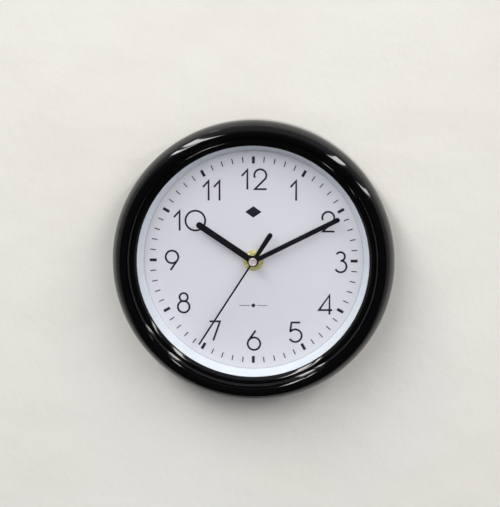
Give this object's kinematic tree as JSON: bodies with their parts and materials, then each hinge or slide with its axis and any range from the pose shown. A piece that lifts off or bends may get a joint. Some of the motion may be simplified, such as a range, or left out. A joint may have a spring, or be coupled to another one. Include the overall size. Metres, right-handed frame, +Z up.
{
  "type": "wall clock",
  "caption": "Round wall clock with a moulded black ring, a domed lens, a white dial with hour numbers, and hands driven by a battery quartz movement.",
  "frame": {"origin": "the hands' axis where it meets the wall plane", "axes": "+Z up through twelve o'clock, the front faces -Y, +Y goes into the wall, +X towards three o'clock"},
  "size_m": [0.225, 0.0395, 0.225],
  "materials": {
    "black_gloss": "polished",
    "clear_lens": "clear",
    "white_plastic": "satin",
    "dial_print": "printed sheet",
    "dial_ink": "printed ink",
    "black_matte": "fine texture",
    "movement_black": "moulded",
    "steel": "plain",
    "brass": "bright",
    "copper": "enamelled wire",
    "rubber": "soft",
    "nylon": "moulded",
    "board": "lacquered",
    "magnet": "sintered",
    "battery_sleeve": "plain sleeve",
    "hand_black": "satin paint",
    "cap_metal": "bright"
  },
  "bodies": {
    "root": {"front_bezel": "black_gloss", "lens": "clear_lens", "rehaut_ring": "white_plastic", "dial_sheet": "dial_print", "dial_plate": "white_plastic", "back_shell": "black_matte", "case_screws": "steel", "movement_case": "movement_black", "movement_cover": "movement_black", "threaded_stem": "brass", "rubber_washer": "rubber", "brass_washer": "brass", "hex_nut": "brass", "train_bridge": "nylon", "circuit_board": "board", "timing_chip": "movement_black", "quartz_crystal": "steel", "stator": "steel", "coil_core": "steel", "coil_bobbin": "nylon", "coil_winding": "copper", "positive_contact": "steel", "negative_contact": "steel"},
    "battery": {"battery_can": "battery_sleeve", "battery_button": "steel"},
    "rotor": {"rotor_magnet": "magnet", "rotor_pinion": "nylon"},
    "intermediate": {"intermediate_wheel": "nylon", "intermediate_pinion": "nylon"},
    "seconds": {"second_wheel": "nylon", "second_arbor": "steel", "second_hand": "hand_black", "second_cap": "cap_metal"},
    "third": {"third_wheel": "nylon", "third_pinion": "nylon"},
    "centre": {"centre_wheel": "brass"},
    "minutes": {"cannon_pinion": "brass", "minute_hand": "hand_black", "minute_bush": "brass"},
    "motion": {"motion_wheel": "nylon"},
    "hours": {"hour_wheel": "nylon", "hour_hand": "hand_black", "hour_bush": "brass"},
    "setting": {"setting_arbor": "nylon", "setting_knob": "movement_black"}
  },
  "joints": [
    {"name": "second_hand_spin", "type": "hinge", "parent": "root", "child": "seconds", "pos_m": [0, -0.02, 0], "axis": [0, 1, 0], "continuous": true},
    {"name": "rotor_spin", "type": "hinge", "parent": "root", "child": "rotor", "pos_m": [0.00897, -0.0114, 0.01143], "axis": [0, 1, 0], "continuous": true},
    {"name": "intermediate_spin", "type": "hinge", "parent": "root", "child": "intermediate", "pos_m": [0.00438, -0.011, 0.00758], "axis": [0, 1, 0], "continuous": true},
    {"name": "third_spin", "type": "hinge", "parent": "root", "child": "third", "pos_m": [-0.00886, -0.011, -0.00156], "axis": [0, 1, 0], "continuous": true},
    {"name": "centre_spin", "type": "hinge", "parent": "root", "child": "centre", "pos_m": [0, -0.013, 0], "axis": [0, 1, 0], "continuous": true},
    {"name": "minute_hand_spin", "type": "hinge", "parent": "root", "child": "minutes", "pos_m": [0, -0.02, 0], "axis": [0, 1, 0], "continuous": true},
    {"name": "motion_wheel_spin", "type": "hinge", "parent": "root", "child": "motion", "pos_m": [0.00752, -0.0145, -0.00274], "axis": [0, 1, 0], "continuous": true},
    {"name": "hour_hand_spin", "type": "hinge", "parent": "root", "child": "hours", "pos_m": [0, -0.02, 0], "axis": [0, 1, 0], "continuous": true},
    {"name": "setting_knob_spin", "type": "hinge", "parent": "root", "child": "setting", "pos_m": [0.0154, -0.01, -0.00413], "axis": [0, 1, 0], "continuous": true},
    {"name": "battery_slide", "type": "slide", "parent": "root", "child": "battery", "axis": [0, 1, 0], "range_m": [0, 0.018]}
  ],
  "couplings": [
    {"joint": "intermediate_spin", "follows": "second_hand_spin", "ratio": -6},
    {"joint": "rotor_spin", "follows": "second_hand_spin", "ratio": 30},
    {"joint": "third_spin", "follows": "second_hand_spin", "ratio": -0.13333},
    {"joint": "centre_spin", "follows": "second_hand_spin", "ratio": 0.016667},
    {"joint": "motion_wheel_spin", "follows": "minute_hand_spin", "ratio": -0.33333},
    {"joint": "hour_hand_spin", "follows": "minute_hand_spin", "ratio": 0.083333},
    {"joint": "setting_knob_spin", "follows": "minute_hand_spin", "ratio": 1}
  ]
}
